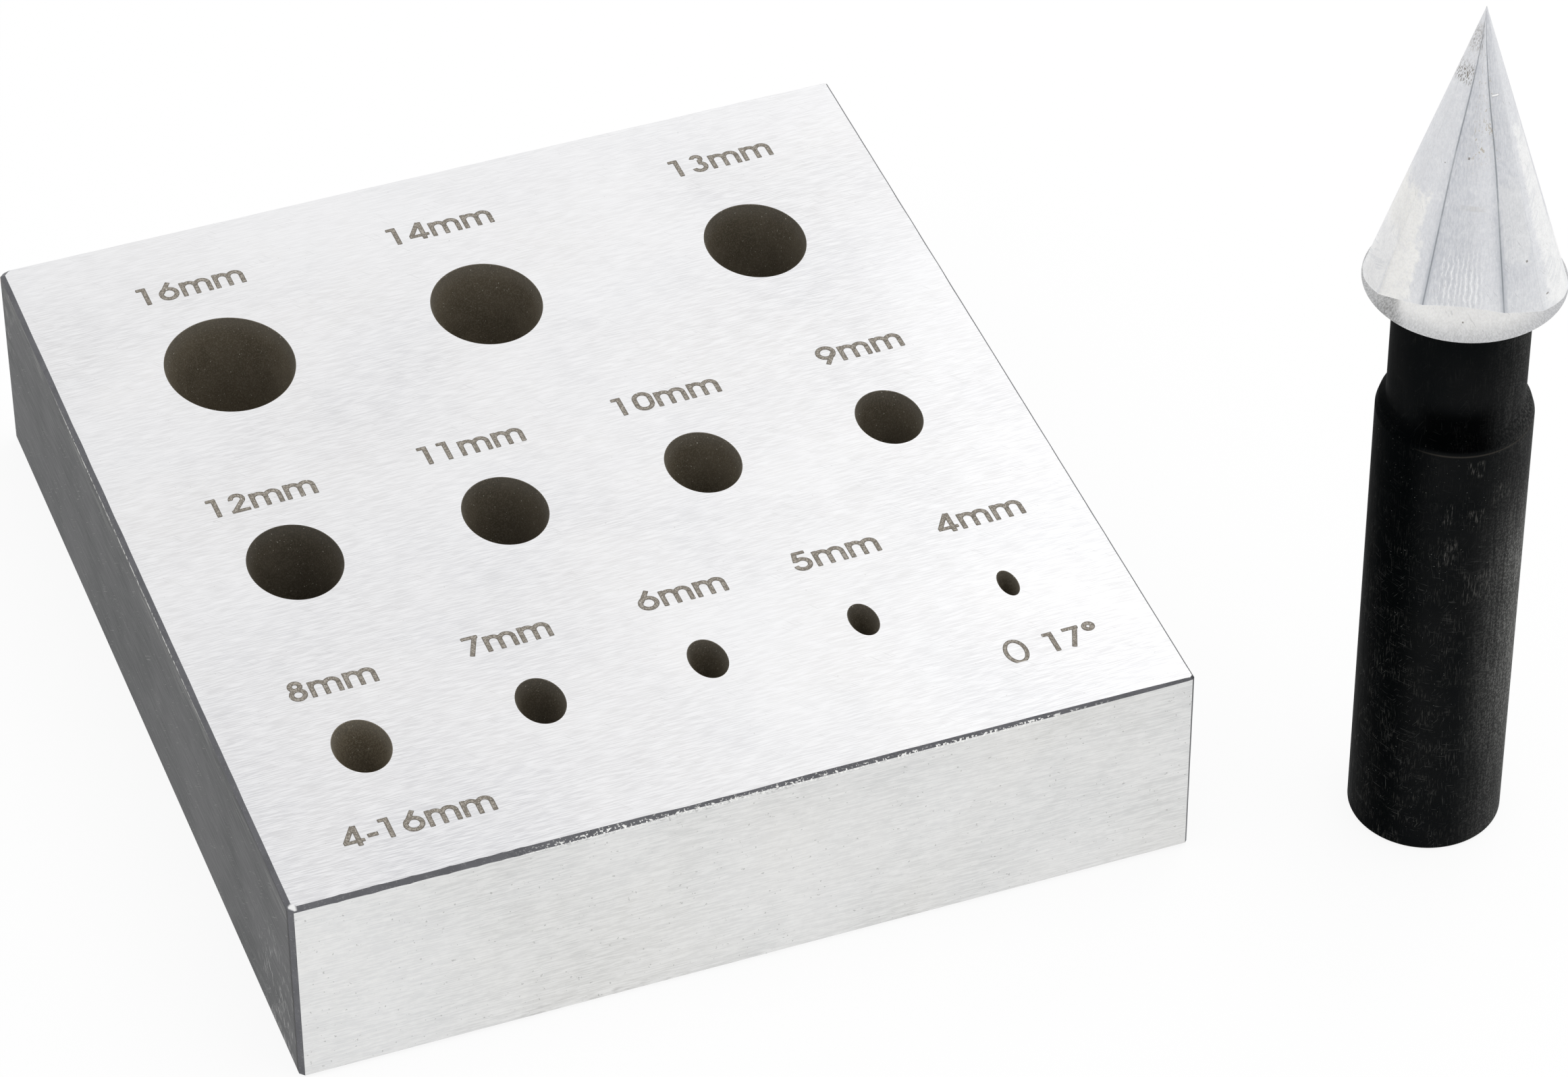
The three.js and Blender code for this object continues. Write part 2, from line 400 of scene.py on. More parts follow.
def arc_depth(x, y, centre_x, centre_y, radius, start, end, half):
    """How deep points lie inside a round stroke that runs anticlockwise from start to end, in degrees."""
    reach = np.hypot(x - centre_x, y - centre_y)
    depth = half - np.abs(reach - radius)
    span = end - start
    if span < 360:
        turn = (np.degrees(np.arctan2(y - centre_y, x - centre_x)) - start) % 360
        past = np.minimum(turn - span, 360 - turn)
        ends = np.where(turn > span, -past, np.minimum(turn, span - turn))
        depth = np.minimum(depth, np.radians(ends) * radius)
    return depth


def oval_depth(x, y, centre_x, centre_y, half_x, half_y, half):
    """How deep points lie inside an oval ring."""
    across, up = x - centre_x, y - centre_y
    reach = np.hypot(across / half_x, up / half_y)
    steepness = np.hypot(across / half_x**2, up / half_y**2) / np.maximum(reach, 0.01)
    return half - np.abs(reach - 1) / np.maximum(steepness, 0.01)


def word_depth(x, y, strokes):
    """How deep points lie inside the strokes of a word."""
    tools = {"line": line_depth, "thin": line_depth, "arc": arc_depth, "oval": oval_depth}
    depths = []
    for kind, *sizes in strokes:
        width_share = THIN_STROKE_SHARE if kind in ("thin", "oval") else STROKE_SHARE
        depths.append(tools[kind](x, y, *sizes, width_share / 2))
    return np.max(depths, axis=0)


def word_strokes(word):
    """All strokes of a word set from x = 0, and the word's width, in shares of the cap height."""
    strokes = []
    pen = 0.0
    gap = 0.0
    for letter in word:
        width, gap, shapes = GLYPHS[letter]
        for kind, *sizes in shapes:
            sizes[0] += pen
            if kind in ("line", "thin"):
                sizes[2] += pen
            strokes.append((kind, *sizes))
        pen += width + gap
    return strokes, pen - gap


def cut_cell(corners, depths):
    """The part of one square cell that lies inside the strokes."""
    kept = []
    for index in range(4):
        after = (index + 1) % 4
        if depths[index] > 0:
            kept.append(corners[index])
        if (depths[index] > 0) != (depths[after] > 0):
            share = depths[index] / (depths[index] - depths[after])
            start, end = corners[index], corners[after]
            kept.append((start[0] + share * (end[0] - start[0]), start[1] + share * (end[1] - start[1])))
    return kept


def word_sheet(word):
    """Flat cells of a word, true to its outlines: points, faces and how deep each point lies inside."""
    strokes, width = word_strokes(word)
    step = MARK_STEP / CAP_HEIGHT
    margin = 2 * step
    x = np.arange(-margin, width + margin, step)
    y = np.arange(-margin, TALLEST_SHARE + margin, step)
    depth = word_depth(*np.meshgrid(x, y, indexing="ij"), strokes)
    points = {}
    faces = []
    for i in range(len(x) - 1):
        for j in range(len(y) - 1):
            cell = [(i, j), (i + 1, j), (i + 1, j + 1), (i, j + 1)]
            depths = [depth[at] for at in cell]
            if max(depths) <= 0:
                continue
            kept = cut_cell([(x[column], y[row]) for column, row in cell], depths)
            keys = [(round(px, 3), round(py, 3)) for px, py in kept]
            keys = [key for place, key in enumerate(keys) if key != keys[place - 1]]
            if len(keys) >= 3:
                faces.append([points.setdefault(key, len(points)) for key in keys])
    flat = np.array(list(points))
    inside = word_depth(flat[:, 0], flat[:, 1], strokes)
    flat[:, 0] -= width / 2
    return flat * CAP_HEIGHT, faces, inside * CAP_HEIGHT


def thicken(flat, faces, top):
    """A closed thin plate from a flat sheet, its upper side at top."""
    count = len(flat)
    points = [(px, py, z) for z in (top, top - MARK_DEPTH) for px, py in flat]
    edges = {(here, after) for face in faces for here, after in zip(face, face[1:] + face[:1])}
    rim = sorted((here, after) for here, after in edges if (after, here) not in edges)
    walls = [(here, here + count, after + count, after) for here, after in rim]
    below = [[index + count for index in reversed(face)] for face in faces]
    return points, faces + below + walls


def make_marks(material):
    """One plate for each mark, set into the top face a hair above it."""
    high = millimetre_box("block")[1]
    cosine, sine = math.cos(MARK_TILT), math.sin(MARK_TILT)
    for row in MARK_ROWS:
        for word, share in zip(row["words"], row["x_shares"]):
            flat, faces, inside = word_sheet(word)
            centre_x = (share - 0.5) * 2 * high.x
            base_y = (row["y_share"] - 0.5) * 2 * high.y + math.tan(MARK_TILT) * (centre_x + high.x)
            placed = [
                (px * cosine - py * sine + centre_x, px * sine + py * cosine + base_y)
                for px, py in flat
            ]
            points, solid_faces = thicken(placed, faces, high.z - MARK_SINK_SHARE * TOP_SINK)
            mark = new_object(MARK_NAMES.get(word, "mark_" + word), points, solid_faces, smooth=False)
            note_on_points(mark, "rim_depth", np.concatenate([inside, inside]))
            dress(mark, [material], "block", None)


# Punch

def lathe(name, profile, centre, sides, sharp_angle):
    """A round solid from (radius, height) points, open lines closed on the axis."""
    points = []
    loops = []
    for radius, z in profile:
        count = sides if radius else 1
        loops.append(list(range(len(points), len(points) + count)))
        for side in range(count):
            turn = FULL_TURN * side / sides
            points.append((centre.x + radius * math.cos(turn), centre.y + radius * math.sin(turn), z))
    faces = []
    for below, above in zip(loops, loops[1:]):
        for side in range(sides):
            after = (side + 1) % sides
            if len(below) == 1:
                faces.append((below[0], above[after], above[side]))
            elif len(above) == 1:
                faces.append((below[side], below[after], above[0]))
            else:
                faces.append((below[side], below[after], above[after], above[side]))
    return new_object(name, points, faces, sharp_angle=sharp_angle)


def soften(profile):
    """Rounds each inner corner of a profile with a short curve."""
    softened = [profile[0]]
    for before, here, after in zip(profile, profile[1:], profile[2:]):
        here = Vector(here)
        back = Vector(before) - here
        onward = Vector(after) - here
        reach = min(EDGE_ROUND, back.length / 3, onward.length / 3)
        start = here + back.normalized() * reach
        end = here + onward.normalized() * reach
        for step in range(EDGE_ROUND_STEPS + 1):
            share = step / EDGE_ROUND_STEPS
            softened.append(tuple(start.lerp(here, share).lerp(here.lerp(end, share), share)))
    return softened + [profile[-1]]


def punch_sizes():
    """The punch's axis, its shank's radius, and the height of its head's foot."""
    low, high = millimetre_box("punch_shank")
    axis = Vector(((low.x + high.x) / 2, (low.y + high.y) / 2, 0))
    return axis, (high.x - low.x) / 2, millimetre_box("punch_head")[0].z


def make_shank(material):
    centre, radius, head_foot = punch_sizes()
    foot = millimetre_box("punch_shank")[0].z
    neck_foot = SHANK_HEIGHT + NECK_BEVEL_HEIGHT
    spigot_top = head_foot + SPIGOT_LENGTH
    profile = [
        (0, foot),
        (radius - SHANK_FOOT_CHAMFER, foot),
        (radius, foot + SHANK_FOOT_CHAMFER),
        (radius, SHANK_HEIGHT),
        ((radius + NECK_RADIUS) / 2 + SHOULDER_SWELL, (SHANK_HEIGHT + neck_foot + SHOULDER_SWELL) / 2),
        (NECK_RADIUS, neck_foot),
        (NECK_RADIUS, head_foot),
        (SPIGOT_RADIUS, head_foot),
        (SPIGOT_RADIUS, spigot_top - SPIGOT_CHAMFER),
        (SPIGOT_RADIUS - SPIGOT_CHAMFER, spigot_top),
        (0, spigot_top),
    ]
    shank = lathe("shank_bar", soften(profile), centre, ROUND_SIDES, SHANK_SHARP_ANGLE)
    dress(shank, [material], "punch", "punch_shank")


def oval_radius(half_long, half_short, turn):
    return half_long * half_short / math.hypot(half_long * math.cos(turn), half_short * math.sin(turn))


def ridge_turns(rise):
    """Turns of all ridges at a height over the head's foot, the first one again at the end."""
    turns = [*RIDGE_TURNS, RIDGE_TURNS[0] + FULL_TURN]
    left = 1 - NARROW_SHARE * (max(rise - NARROW_FROM, 0) / NARROW_OVER) ** 2
    middle = (turns[FRONT_FLAT] + turns[FRONT_FLAT + 1]) / 2
    turns[FRONT_FLAT] = middle + left * (turns[FRONT_FLAT] - middle)
    turns[FRONT_FLAT + 1] = middle + left * (turns[FRONT_FLAT + 1] - middle)
    turns[0] = turns[FRONT_FLAT + 1] - FULL_TURN
    return turns


def head_columns(rise):
    """For each column: the turns of the ridges beside it, its share of the way, and its flat's number."""
    turns = ridge_turns(rise)
    columns = []
    for flat, (start, end) in enumerate(zip(turns, turns[1:])):
        for step in range(STEPS_PER_FLAT):
            columns.append((start, end, step / STEPS_PER_FLAT, flat))
    return columns


def in_patch(patches, flat, share, rise):
    """How well inside one of the patches a place on the head lies, from 0 to 1."""
    inside = 0.0
    for number, first, last, low, high, strength in patches:
        if number == flat:
            across = min(share - first, last - share) / PATCH_SOFT_SHARE
            up = min(rise - low, high - rise) / PATCH_SOFT_RISE
            inside = max(inside, strength * min(across, up, 1.0))
    return inside


def flat_look(start, end, share, flat, radius, rise):
    """The values of LOOK_LABELS for a place on a flat; its reach from a ridge is in half line widths."""
    width = (end - start) * radius
    half_line = min(RIDGE_HALF_WIDTH, RIDGE_WIDTH_SHARE * width)
    reach = min(share, 1 - share) * width / half_line
    nearest = flat if share < 0.5 else (flat + 1) % len(RIDGE_TURNS)
    shade = float(np.interp(share, SHADE_SHARES, FLAT_PAINTED_SHADES[flat]))
    cream, white = (in_patch(patches, flat, share, rise) for patches in (CREAM_REFLECTIONS, WHITE_REFLECTIONS))
    return reach, RIDGE_STRENGTHS[nearest], FLAT_REFLECTION_TONES[flat], shade, cream, white


def section(rim_radius, rise, start, end, share):
    """Radius and turn of the cone on one column, at a height over its foot."""
    left = 1 - rise * math.tan(WALL_ANGLE) / rim_radius
    sizes = (rim_radius * left, HEAD_SHORT_RADIUS * left)
    ends = []
    for turn in (start, end):
        radius = oval_radius(*sizes, turn)
        ends.append(Vector((radius * math.cos(turn), radius * math.sin(turn))))
    chord = ends[0].lerp(ends[1], share)
    turn = math.atan2(chord.y, chord.x)
    curve = oval_radius(*sizes, turn)
    return curve + FLATNESS_SHARE * (chord.length - curve), turn


def rim_rise(rim_radius, start, end, share):
    """Height over the rim's foot where the 45 degree bevel meets the oval cone."""
    rise = 0.0
    for _ in range(RIM_TRIES):
        radius = section(rim_radius, rise, start, end, share)[0]
        rise = max((rise + rim_radius - radius) / 2, RIM_LAND)
    return rise


def make_head(material):
    low, high = millimetre_box("punch_head")
    rim_radius = (high.x - low.x) / 2
    tip_rise = high.z - low.z
    centre = punch_sizes()[0]
    columns = head_columns(0)
    sides = len(columns)
    feet = [rim_rise(rim_radius, *column[:3]) for column in columns]
    turns = [section(rim_radius, 0, *column[:3])[1] for column in columns]
    points = []
    looks = []

    def add(radius, turn, rise, look=PLAIN_LOOK):
        angle = turn + SHORT_AXIS_TURN
        x = centre.x + radius * math.cos(angle)
        y = centre.y + radius * math.sin(angle)
        points.append((x, y, low.z + rise))
        looks.append(look)

    bore_radius = SPIGOT_RADIUS + SPIGOT_CLEARANCE
    bore_rise = SPIGOT_LENGTH + BORE_END_CLEARANCE
    bore = [(bore_radius, bore_rise), (bore_radius, 0)]
    rim = [(rim_radius - RIM_ROUND, 0), (rim_radius, RIM_ROUND / 2)]
    for radius, rise in bore + rim:
        for turn in turns:
            add(radius, turn, rise)
    for turn, foot in zip(turns, feet):
        add(rim_radius - foot + BAND_EDGE, turn, foot - BAND_EDGE)
    for level in range(HEAD_LEVELS):
        up = level / HEAD_LEVELS
        for (start, end, share, flat), foot in zip(head_columns(tip_rise * up), feet):
            rise = foot + (tip_rise - foot) * up
            radius, turn = section(rim_radius, rise, start, end, share)
            add(radius, turn, rise, flat_look(start, end, share, flat, radius, rise))
    faces = strips([range(sides)] * (len(points) // sides))
    last = len(points) - sides
    apex = len(points)
    add(0, 0, tip_rise)
    bore_end = len(points)
    add(0, 0, bore_rise)
    for side in range(sides):
        after = (side + 1) % sides
        faces.append((last + side, last + after, apex))
        faces.append((after, side, bore_end))
    head = new_object("head_cone", points, faces, sharp_angle=HEAD_SHARP_ANGLE)
    for label, values in zip(LOOK_LABELS, zip(*looks)):
        note_on_points(head, label, values)
    dress(head, [material], "punch", "punch_head")


# Node tools

class Nodes:
    """Adds nodes to one node tree and gives back their sockets. Sockets may stand in for its numbers."""

    def __init__(self, tree):
        self.tree = tree

    def feed(self, socket, value):
        if isinstance(value, bpy.types.NodeSocket):
            self.tree.links.new(value, socket)
        else:
            socket.default_value = (*value, 1.0) if socket.type == "RGBA" else value

    def put(self, kind, inputs=None, **options):
        """Adds a shader node with its options, and feeds its inputs by name or number."""
        node = self.tree.nodes.new("ShaderNode" + kind)
        for option, value in options.items():
            setattr(node, option, value)
        for name, value in (inputs or {}).items():
            self.feed(node.inputs[name], value)
        return node

    def find(self, kind):
        return next(node for node in self.tree.nodes if node.type == kind)

    def sums(self, operation, *values):
        return self.put("Math", dict(enumerate(values)), operation=operation).outputs[0]

    def times(self, *values):
        """The product of all the values: of masks, the place where they meet."""
        product = values[0]
        for value in values[1:]:
            product = self.sums("MULTIPLY", product, value)
        return product

    def most(self, *values):
        largest = values[0]
        for value in values[1:]:
            largest = self.sums("MAXIMUM", largest, value)
        return largest

    def ramp(self, value, low, high, out_low=0.0, out_high=1.0):
        inputs = {"Value": value, "From Min": low, "From Max": high, "To Min": out_low, "To Max": out_high}
        return self.put("MapRange", inputs, interpolation_type="SMOOTHSTEP").outputs["Result"]

    def zone(self, value, places):
        """Rises from 0, or from a third number, between two places. With four, it falls again."""
        start, full, *rest = places
        if len(rest) == 2:
            return self.times(self.ramp(value, start, full), self.ramp(value, rest[1], rest[0]))
        return self.ramp(value, start, full, *rest)

    def blend(self, share, first, second, mode="MIX"):
        inputs = {0: share, 6: first, 7: second}
        return self.put("Mix", inputs, data_type="RGBA", blend_type=mode).outputs[2]

    def arrows(self, operation, first, second):
        return self.put("VectorMath", {0: first, 1: second}, operation=operation).outputs[0]

    def axes(self, place):
        return self.put("SeparateXYZ", {0: place}).outputs

    def join(self, *values):
        return self.put("CombineXYZ", dict(enumerate(values))).outputs[0]

    def cloud(self, place, detail, roughness, scale=1.0, distortion=0.0):
        inputs = {"Vector": place, "Scale": scale, "Detail": detail, "Roughness": roughness,
                  "Distortion": distortion}
        return self.put("TexNoise", inputs).outputs["Fac"]


# Shared effects

class Effect(Nodes):
    """A node group with one output. Its inputs are numbers, or places where the value given is None."""

    def __init__(self, name, output, inputs, output_kind="Float"):
        super().__init__(bpy.data.node_groups.new(name, "ShaderNodeTree"))
        sockets = self.tree.interface
        for label, value in inputs.items():
            kind = "NodeSocketVector" if value is None else "NodeSocketFloat"
            socket = sockets.new_socket(name=label, in_out="INPUT", socket_type=kind)
            if value is not None:
                socket.default_value = value
        sockets.new_socket(name=output, in_out="OUTPUT", socket_type="NodeSocket" + output_kind)
        self.given = self.tree.nodes.new("NodeGroupInput").outputs
        self.result = self.tree.nodes.new("NodeGroupOutput").inputs

    def give(self, value):
        self.feed(self.result[0], value)
        return self.tree


def grinding_lines():
    """Fine lines left by grinding: long along the place's X, narrow along its Y and Z."""
    effect = Effect("grinding_lines", "Lines", {"Place": None, "Length": 5.0, "Width": 0.2, "Shift": 0.0})
    given = effect.given
    size = effect.join(given["Length"], given["Width"], given["Width"])
    moved = effect.arrows("ADD", effect.arrows("DIVIDE", given["Place"], size), given["Shift"])
    return effect.give(effect.cloud(moved, 3.0, 0.6))


def cloudy_tone():
    """Soft uneven tone over a surface."""
    effect = Effect("cloudy_tone", "Tone", {"Place": None, "Size": 12.0})
    place = effect.arrows("DIVIDE", effect.given["Place"], effect.given["Size"])
    return effect.give(effect.ramp(effect.cloud(place, 5.0, 0.55, distortion=0.4), 0.3, 0.7))


def small_specks():
    """Small scattered specks: a higher level leaves fewer."""
    effect = Effect("small_specks", "Specks", {"Place": None, "Size": 0.4, "Level": 0.7})
    given = effect.given
    spots = effect.cloud(effect.arrows("DIVIDE", given["Place"], given["Size"]), 2.0, 0.5)
    return effect.give(effect.ramp(spots, given["Level"], effect.sums("ADD", given["Level"], 0.04)))


def stray_scratches():
    """Thin stray scratches that run at a turn to the place's X, gathered in patches."""
    inputs = {"Place": None, "Turn": 0.6, "Length": 4.0, "Width": 0.1, "Level": 0.68}
    effect = Effect("stray_scratches", "Scratches", inputs)
    given = effect.given
    turning = {"Vector": given["Place"], "Angle": given["Turn"]}
    turned = effect.put("VectorRotate", turning, rotation_type="Z_AXIS").outputs[0]
    size = effect.join(given["Length"], given["Width"], given["Length"])
    lines = effect.cloud(effect.arrows("DIVIDE", turned, size), 1.0, 0.5)
    thin = effect.ramp(lines, given["Level"], effect.sums("ADD", given["Level"], 0.05))
    patches = effect.cloud(effect.arrows("DIVIDE", given["Place"], given["Length"]), 1.0, 0.5, scale=0.9)
    return effect.give(effect.times(thin, effect.ramp(patches, 0.45, 0.6)))


def round_place():
    """Turns a place on a round piece into (height, distance round it, distance from its axis)."""
    effect = Effect("round_place", "Wrapped", {"Place": None, "Centre": None, "Radius": 8.0}, "Vector")
    given = effect.given
    x, y, z = effect.axes(effect.arrows("SUBTRACT", given["Place"], given["Centre"]))
    turn = effect.sums("ARCTAN2", x, effect.times(y, -1.0))
    squares = effect.sums("ADD", effect.sums("POWER", x, 2.0), effect.sums("POWER", y, 2.0))
    return effect.give(effect.join(z, effect.times(turn, given["Radius"]), effect.sums("SQRT", squares)))


def oblong_spot():
    """1 in a small oblong spot on a round piece and 0 outside it."""
    inputs = {"Around": 0.0, "Rise": 0.0, "Middle Around": 0.0, "Middle Rise": 0.0, "Half Width": 1.0,
              "Half Height": 1.0, "Softness": 0.35}
    effect = Effect("oblong_spot", "Spot", inputs)
    given = effect.given
    reaches = []
    for axis, half in (("Around", "Half Width"), ("Rise", "Half Height")):
        offset = effect.sums("SUBTRACT", given[axis], given["Middle " + axis])
        reaches.append(effect.sums("ABSOLUTE", effect.sums("DIVIDE", offset, given[half])))
    return effect.give(effect.ramp(effect.most(*reaches), effect.sums("ADD", given["Softness"], 1.0), 1.0))


# Finishes

class Finish(Nodes):
    """One steel finish: its material, its place in millimetres, and the colour laid on so far."""

    def __init__(self, name, effects):
        self.material = bpy.data.materials.new(name)
        self.material.use_nodes = True
        super().__init__(self.material.node_tree)
        self.effects = effects
        where = self.put("TexCoord").outputs["Object"]
        self.place = self.put("VectorMath", {0: where, "Scale": 1 / MM}, operation="SCALE").outputs[0]
        self.along = dict(zip("xyz", self.axes(self.place)))

    def turned(self, order):
        """The place with its axes in another order, so that the grain can follow any axis."""
        return self.join(*(self.along[axis] for axis in order))

    def effect(self, name, place=None, **values):
        """A shared effect at a place, with the effect's own values by name."""
        inputs = {label.title(): value for label, value in values.items()}
        inputs["Place"] = place or self.place
        return self.put("Group", inputs, node_tree=self.effects[name]).outputs[0]

    def wrap(self, centre, radius, foot):
        """Gives the wrapped place on a round piece, and keeps its distance round it and its rise."""
        wrapped = self.effect("wrap", centre=centre, radius=radius)
        self.along["around"] = self.axes(wrapped)["Y"]
        self.along["rise"] = self.sums("SUBTRACT", self.along["z"], foot)
        return wrapped

    def spot(self, sizes, softness=0.35):
        inputs = dict(enumerate((self.along["around"], self.along["rise"], *sizes, softness)))
        return self.put("Group", inputs, node_tree=self.effects["spot"]).outputs[0]

    def noted(self, label):
        return self.put("Attribute", attribute_name=label).outputs["Fac"]

    def area(self, area):
        """1 inside all the zones of an area, each under its axis, or inside any area of a list."""
        if isinstance(area, list):
            return self.most(*map(self.area, area))
        return self.times(*(self.zone(self.along[axis], places) for axis, places in area.items()))

    def ground(self, tone, dark, light):
        """Starts the colour afresh, from dark to light by a tone."""
        self.color = self.blend(tone, dark, light)

    def layer(self, tint, *masks):
        """Lays a tint over the colour where all the masks and areas meet."""
        masks = [self.area(mask) if isinstance(mask, (dict, list)) else mask for mask in masks]
        self.color = self.blend(self.times(*masks), self.color, tint)

    def done(self, roughness, metallic, relief, depth, extras=None):
        """Feeds the surface shader; the relief is depth millimetres deep."""
        bump = self.put("Bump", {"Strength": 1.0, "Distance": depth * MM, "Height": relief})
        inputs = {"Base Color": self.color, "Roughness": roughness, "Metallic": metallic,
                  "Normal": bump.outputs["Normal"], **(extras or {})}
        surface = self.find("BSDF_PRINCIPLED")
        for name, value in inputs.items():
            self.feed(surface.inputs[name], value)
        return self.material


# Areas of the block's finishes in millimetres. Each axis has the places where a tone starts and is full,
# and then its least share, or the places where it fades and ends.
# Painted shade towards the front left of the top, and painted light towards its back
TOP_PAINTED_SHADE = {"y": (10.0, -48.0), "x": (0.0, -38.0)}
TOP_BACK_PAINTED_LIGHT = {"y": (38.0, 54.0)}
FRONT_LIGHT = {"x": (-22.0, -44.0)}
FRONT_DIRTY = {"x": (-30.0, -20.0, -12.0, -4.0)}
FRONT_FOOT = {"z": (2.6, 0.2)}
FRONT_WORN = {"x": (-26.0, -18.0, 2.0, 16.0), "z": (22.6, 23.3)}
FRONT_BEADED = {"x": (-27.0, -23.0, 25.0, 40.0), "z": (22.95, 23.1)}
SIDE_WORN = {"z": (19.5, 22.8)}
SIDE_BEADED = {"z": (22.75, 22.95), "y": (-30.0, -10.0, 22.0, 36.0)}
SIDE_NICKED = [{"y": (-36.0, -48.0), "z": (17.0, 9.0)}, {"y": (46.0, 52.0), "z": (12.0, 17.0)}]
SIDE_LEFT = {"x": (10.0, -10.0, 0.2)}
# Black lines along the top edge and the front edge of the sides
SIDE_EDGE_LINES = [{"z": (22.9, 23.05), "y": (-26.0, -38.0)}, {"y": (-52.3, -52.6)}]
EDGE_WORN = {"x": (-26.0, -18.0, 5.0, 20.0)}
EDGE_BEADED = {"x": (-26.0, -18.0, 30.0, 42.0), "z": (23.52, 23.42)}
# Painted highlight on the front left corner of the top chamfer
EDGE_CORNER_HIGHLIGHT = {"x": (-47.5, -47.8), "y": (-52.4, -52.75), "z": (23.3, 23.42)}
# Painted light in the pockets: greyer and lighter near the mouth, lighter and browner deep down
POCKET_MOUTH_PAINTED_LIGHT = {"z": (21.6, 23.6)}
POCKET_DEEP_PAINTED_LIGHT = {"z": (17.5, 13.0)}
MARK_RIM_DEPTHS = (0.13, 0.02)


def top_steel(effects):
    """Ground top: fine lines along X under soft clouds, with painted shade towards the front left and
    painted light towards the back.
    """
    steel = Finish("ground_top", effects)
    fine = steel.effect("grain", length=2.5, width=0.14)
    broad = steel.effect("grain", length=4.0, width=0.3, shift=9.0)
    scratches = steel.effect("scratch", turn=0.9, length=2.6, width=0.12, level=0.66)
    steel.ground(steel.effect("cloud", size=26.0), (0.665, 0.665, 0.678), (0.765, 0.765, 0.774))
    # painted shade towards the front left, then painted light towards the back
    steel.layer((0.595, 0.597, 0.618), TOP_PAINTED_SHADE, 0.9)
    steel.layer((0.79, 0.775, 0.76), steel.effect("cloud", steel.turned("yxz"), size=19.0), 0.35)
    steel.layer((0.87, 0.87, 0.88), TOP_BACK_PAINTED_LIGHT, 0.35)
    steel.layer((0.87, 0.87, 0.88), steel.ramp(fine, 0.38, 0.62), 0.7)
    steel.layer((0.6, 0.6, 0.61), steel.ramp(broad, 0.65, 0.35), 0.08)
    steel.layer((0.5, 0.5, 0.5), scratches, 0.3)
    steel.layer((0.42, 0.41, 0.4), steel.effect("speck", size=0.35, level=0.74), 0.4)
    relief = steel.sums("ADD", steel.times(fine, 0.7), steel.times(scratches, -0.5))
    return steel.done(steel.ramp(fine, 0.3, 0.7, 0.42, 0.34), 0.9, relief, 0.006)


def front_steel(effects):
    """Ground front: lines along X, dirt at the foot, and a worn, beaded stretch along the top edge."""
    steel = Finish("ground_front", effects)
    fine = steel.effect("grain", length=2.0, width=0.13)
    dirt = steel.ramp(steel.effect("grain", length=2.2, width=0.35, shift=4.0), 0.5, 0.66)
    dirty = steel.sums("ADD", steel.area(FRONT_DIRTY), 0.25)
    steel.ground(steel.effect("cloud", size=14.0), (0.655, 0.655, 0.64), (0.77, 0.765, 0.75))
    steel.layer((0.82, 0.82, 0.815), FRONT_LIGHT, 0.35)
    steel.layer((0.72, 0.735, 0.755), steel.effect("cloud", steel.turned("zyx"), size=24.0), 0.4)
    steel.layer((0.86, 0.86, 0.85), steel.ramp(fine, 0.38, 0.62), 0.56)
    steel.layer((0.5, 0.5, 0.5), steel.effect("cloud", size=0.7), 0.1)
    steel.layer((0.3, 0.3, 0.29), steel.effect("speck", size=0.42, level=0.7), 0.5)
    steel.layer((0.4, 0.4, 0.39), dirt, FRONT_FOOT, dirty, 0.4)
    steel.layer((0.28, 0.28, 0.28), steel.effect("speck", size=0.3, level=0.56), FRONT_WORN, 0.6)
    steel.layer((0.93, 0.93, 0.91), steel.effect("speck", size=0.2, level=0.53), FRONT_BEADED, 0.9)
    return steel.done(steel.ramp(fine, 0.3, 0.7, 0.5, 0.4), 0.9, fine, 0.008)


def side_steel(effects):
    """Sides, a copy of the ground steel painted dark for the shade they stand in: grain along Y, worn and
    beaded along the top edge, nicked at the front and the back.
    """
    steel = Finish("dark_side", effects)
    along = steel.turned("yzx")
    fine = steel.effect("grain", along, length=4.5, width=0.16)
    rubbed = steel.ramp(steel.effect("grain", along, length=9.0, width=0.5, shift=3.0), 0.5, 0.62)
    scratches = steel.effect("scratch", along, turn=0.7, length=2.4, width=0.12, level=0.66)
    nicks = steel.effect("scratch", along, turn=-1.2, length=1.4, width=0.14, level=0.59)
    # painted shade: the sides' dark ground colour
    steel.ground(steel.effect("cloud", along, size=14.0), (0.088, 0.092, 0.093), (0.14, 0.141, 0.145))
    steel.layer((0.175, 0.176, 0.178), steel.ramp(fine, 0.35, 0.7), 0.5)
    steel.layer((0.36, 0.36, 0.35), scratches, 0.5)
    steel.layer((0.55, 0.55, 0.54), nicks, SIDE_NICKED, SIDE_LEFT)
    steel.layer((0.4, 0.4, 0.385), rubbed, SIDE_WORN, 0.4)
    steel.layer((0.75, 0.75, 0.72), steel.effect("speck", along, size=0.4, level=0.46), SIDE_BEADED)
    # black lines along the top and front edges
    steel.layer((0.03, 0.03, 0.033), SIDE_EDGE_LINES, 0.75)
    extras = {"Specular Tint": (0.55, 0.55, 0.55)}
    return steel.done(steel.ramp(fine, 0.3, 0.7, 0.5, 0.4), 0.85, fine, 0.01, extras)


def chamfer_steel(effects):
    """Chamfers painted dark for shade, flecked and beaded bright along the front, with a painted highlight
    on one corner.
    """
    steel = Finish("dark_edge", effects)
    tone = steel.effect("cloud", size=3.0)
    worn = steel.sums("ADD", steel.times(steel.area(EDGE_WORN), 0.75), 0.12)
    # painted shade: the chamfers' dark ground colour
    steel.ground(tone, (0.112, 0.113, 0.122), (0.142, 0.143, 0.154))
    steel.layer((0.6, 0.6, 0.58), steel.effect("speck", size=0.22, level=0.62), worn)
    steel.layer((0.9, 0.9, 0.88), steel.effect("speck", size=0.28, level=0.55), EDGE_BEADED)
    # painted highlight on the front left corner
    steel.layer((0.86, 0.86, 0.86), EDGE_CORNER_HIGHLIGHT)
    return steel.done(0.45, 0.8, tone, 0.02)


